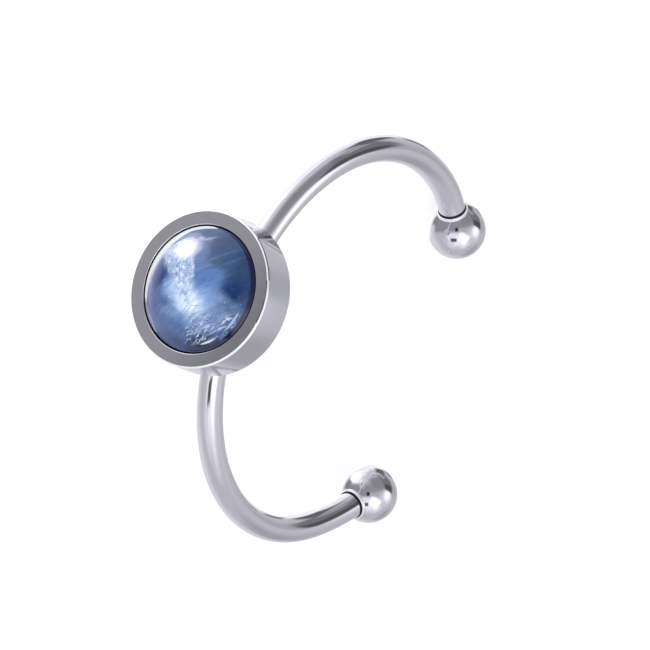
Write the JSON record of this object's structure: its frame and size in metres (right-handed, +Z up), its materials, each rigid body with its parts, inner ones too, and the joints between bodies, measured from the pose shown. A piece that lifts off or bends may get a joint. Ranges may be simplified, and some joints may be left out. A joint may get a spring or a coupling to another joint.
{
  "type": "open cabochon finger ring",
  "caption": "Open wire finger ring with a ball on each free end and a round cup that holds a domed blue stone.",
  "frame": {"origin": "on the floor, under the middle of the part's box", "axes": "+Z up, away from the floor that the ring lies on; -Y towards the stone, +Y towards the gap between the balls; X across the finger hole. The band's plane leans about 8 degrees, cup end up"},
  "size_m": [0.0198, 0.0218, 0.0076],
  "materials": {
    "silver": "mirror polished, rhodium plated",
    "kyanite": "polished translucent stone"
  },
  "bodies": {
    "root": {"band": "silver", "stone": "kyanite", "ball_left": "silver", "ball_right": "silver"}
  },
  "joints": []
}
